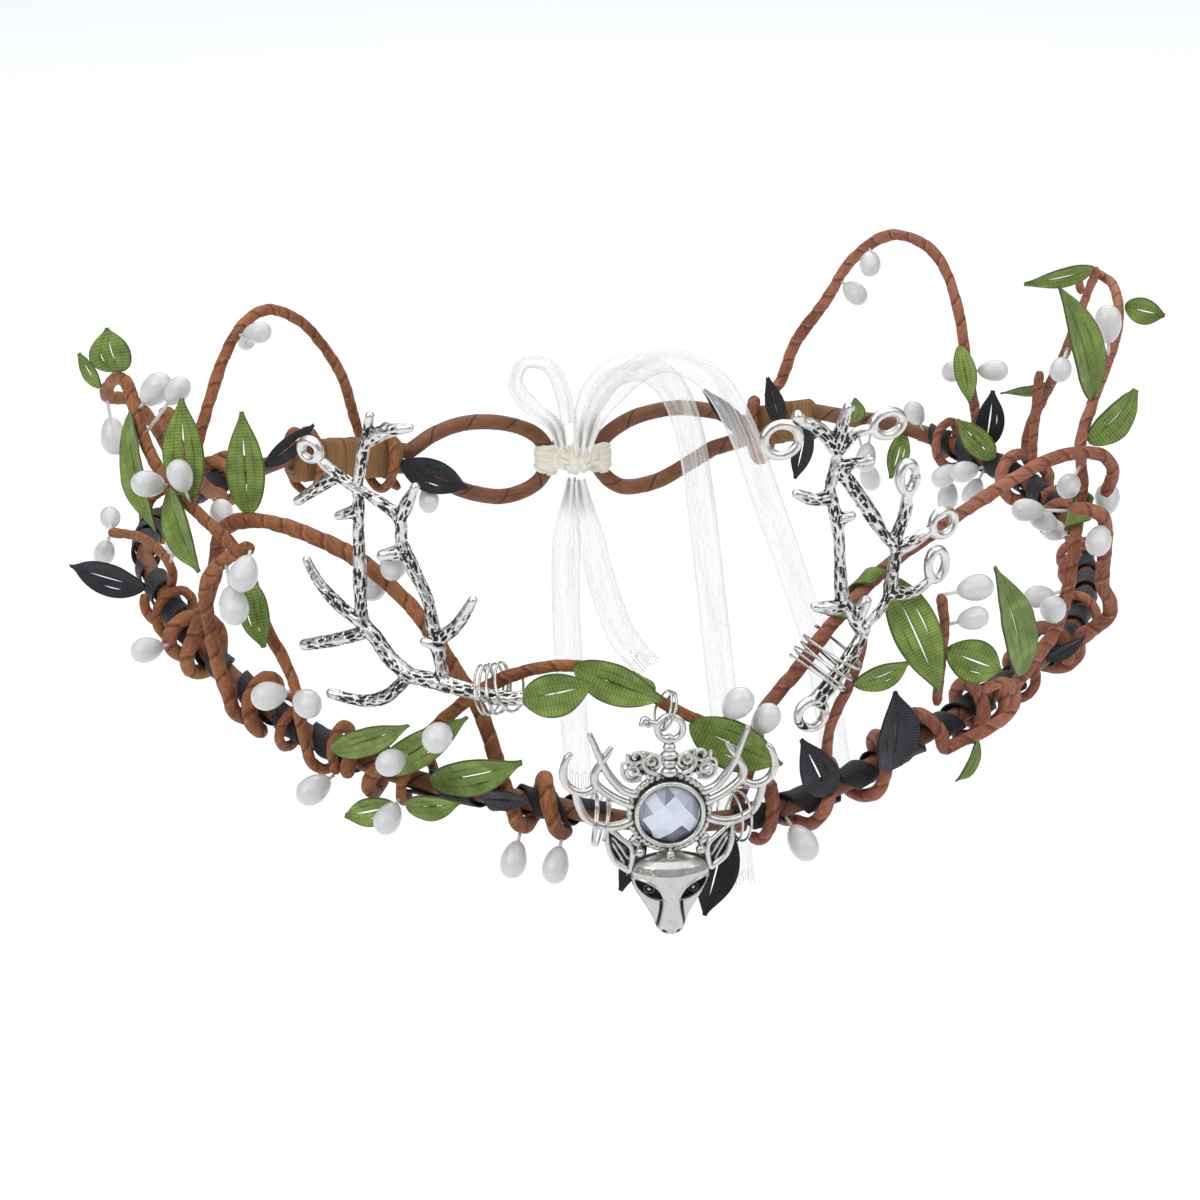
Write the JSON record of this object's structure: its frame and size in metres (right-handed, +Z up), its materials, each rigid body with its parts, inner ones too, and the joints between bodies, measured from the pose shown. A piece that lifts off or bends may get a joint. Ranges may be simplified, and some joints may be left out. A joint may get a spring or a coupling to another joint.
{
  "type": "woodland crown",
  "caption": "Woodland crown of twine vines, cloth leaves and white pips on a cane hoop, with cast silver branches and a stag pendant.",
  "frame": {"origin": "centre of the head opening, on the axis of the hoop's circle, at the mean height of its sides", "axes": "+Z up when worn, -Y towards the front (the pendant), +X towards the crown's right in a front view"},
  "size_m": [0.2001, 0.1916, 0.171],
  "materials": {
    "cane": "brown paper-covered cane, satin",
    "tape": "crinkled floral tape, matt",
    "twine": "twisted paper twine, matt",
    "black_cloth": "woven satin, charcoal",
    "green_cloth": "woven satin, olive",
    "pip": "glossy white",
    "silver": "antiqued silver, dark pits",
    "cut_glass": "faceted, pale blue",
    "organza": "sheer, cream-white"
  },
  "bodies": {
    "root": {"hoop": "cane", "binding_left": "tape", "binding_right": "tape", "ribbon_black_left": "black_cloth", "ribbon_black_right": "black_cloth", "vine_back_left": "twine", "vine_back_right": "twine", "vine_side_left": "twine", "vine_side_left_twist": "twine", "vine_thick_left": "twine", "vine_front_left": "twine", "vine_brow": "twine", "vine_front_right": "twine", "vine_riser_right": "twine", "vine_side_right": "twine", "vine_side_right_twist": "twine", "vine_outer_right": "twine", "vine_curl_right": "twine", "vine_wrap_right": "twine", "vine_thin_right": "twine", "twigs_left": "twine", "twigs_right": "twine", "ribbon_green_front": "green_cloth", "ribbon_green_right": "green_cloth", "leaves_green_left": "green_cloth", "leaves_green_front": "green_cloth", "leaves_green_right": "green_cloth", "leaves_green_back": "green_cloth", "leaves_black_left": "black_cloth", "leaves_black_front": "black_cloth", "leaves_black_right": "black_cloth", "leaves_black_back": "black_cloth", "berries_left": "pip", "berries_front": "pip", "berries_right": "pip", "berries_back": "pip", "branch_left": "silver", "branch_right": "silver", "lashing_left": "silver", "lashing_right": "silver", "lashing_pendant": "silver", "pendant": "silver", "stone": "cut_glass", "tie_knot": "organza", "tie_bow": "organza", "tail_left": "organza", "tail_centre": "organza", "tail_right": "organza", "tail_far_right": "organza"}
  },
  "joints": []
}
